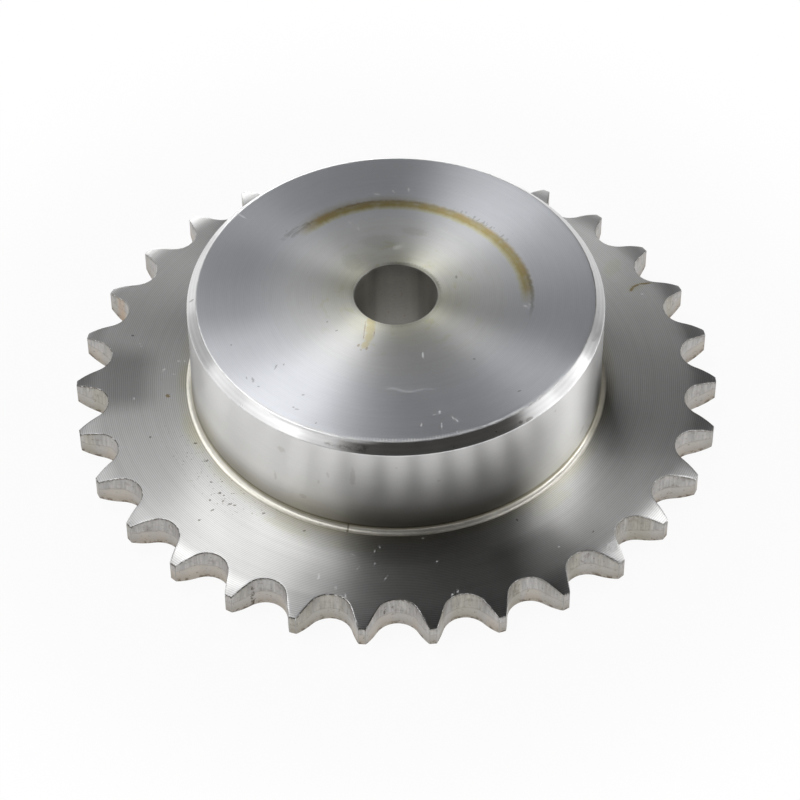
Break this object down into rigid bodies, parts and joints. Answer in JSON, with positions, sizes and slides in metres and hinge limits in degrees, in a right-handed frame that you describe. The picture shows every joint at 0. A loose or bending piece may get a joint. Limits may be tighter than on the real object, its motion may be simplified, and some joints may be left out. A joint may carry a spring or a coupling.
{
  "type": "roller chain sprocket",
  "caption": "Roller chain sprocket in bright machined steel: flat toothed plate, plain round hub to a side and a through pilot bore.",
  "frame": {"origin": "on the bore axis, at the flat back face that it rests on", "axes": "+Z along the bore axis towards the hub face; a tooth tip lies on +X and a tooth space on -Y"},
  "size_m": [0.1254, 0.125, 0.03],
  "materials": {
    "steel": "turned, with fine circular tool marks"
  },
  "bodies": {
    "root": {"sprocket": "steel"}
  },
  "joints": []
}
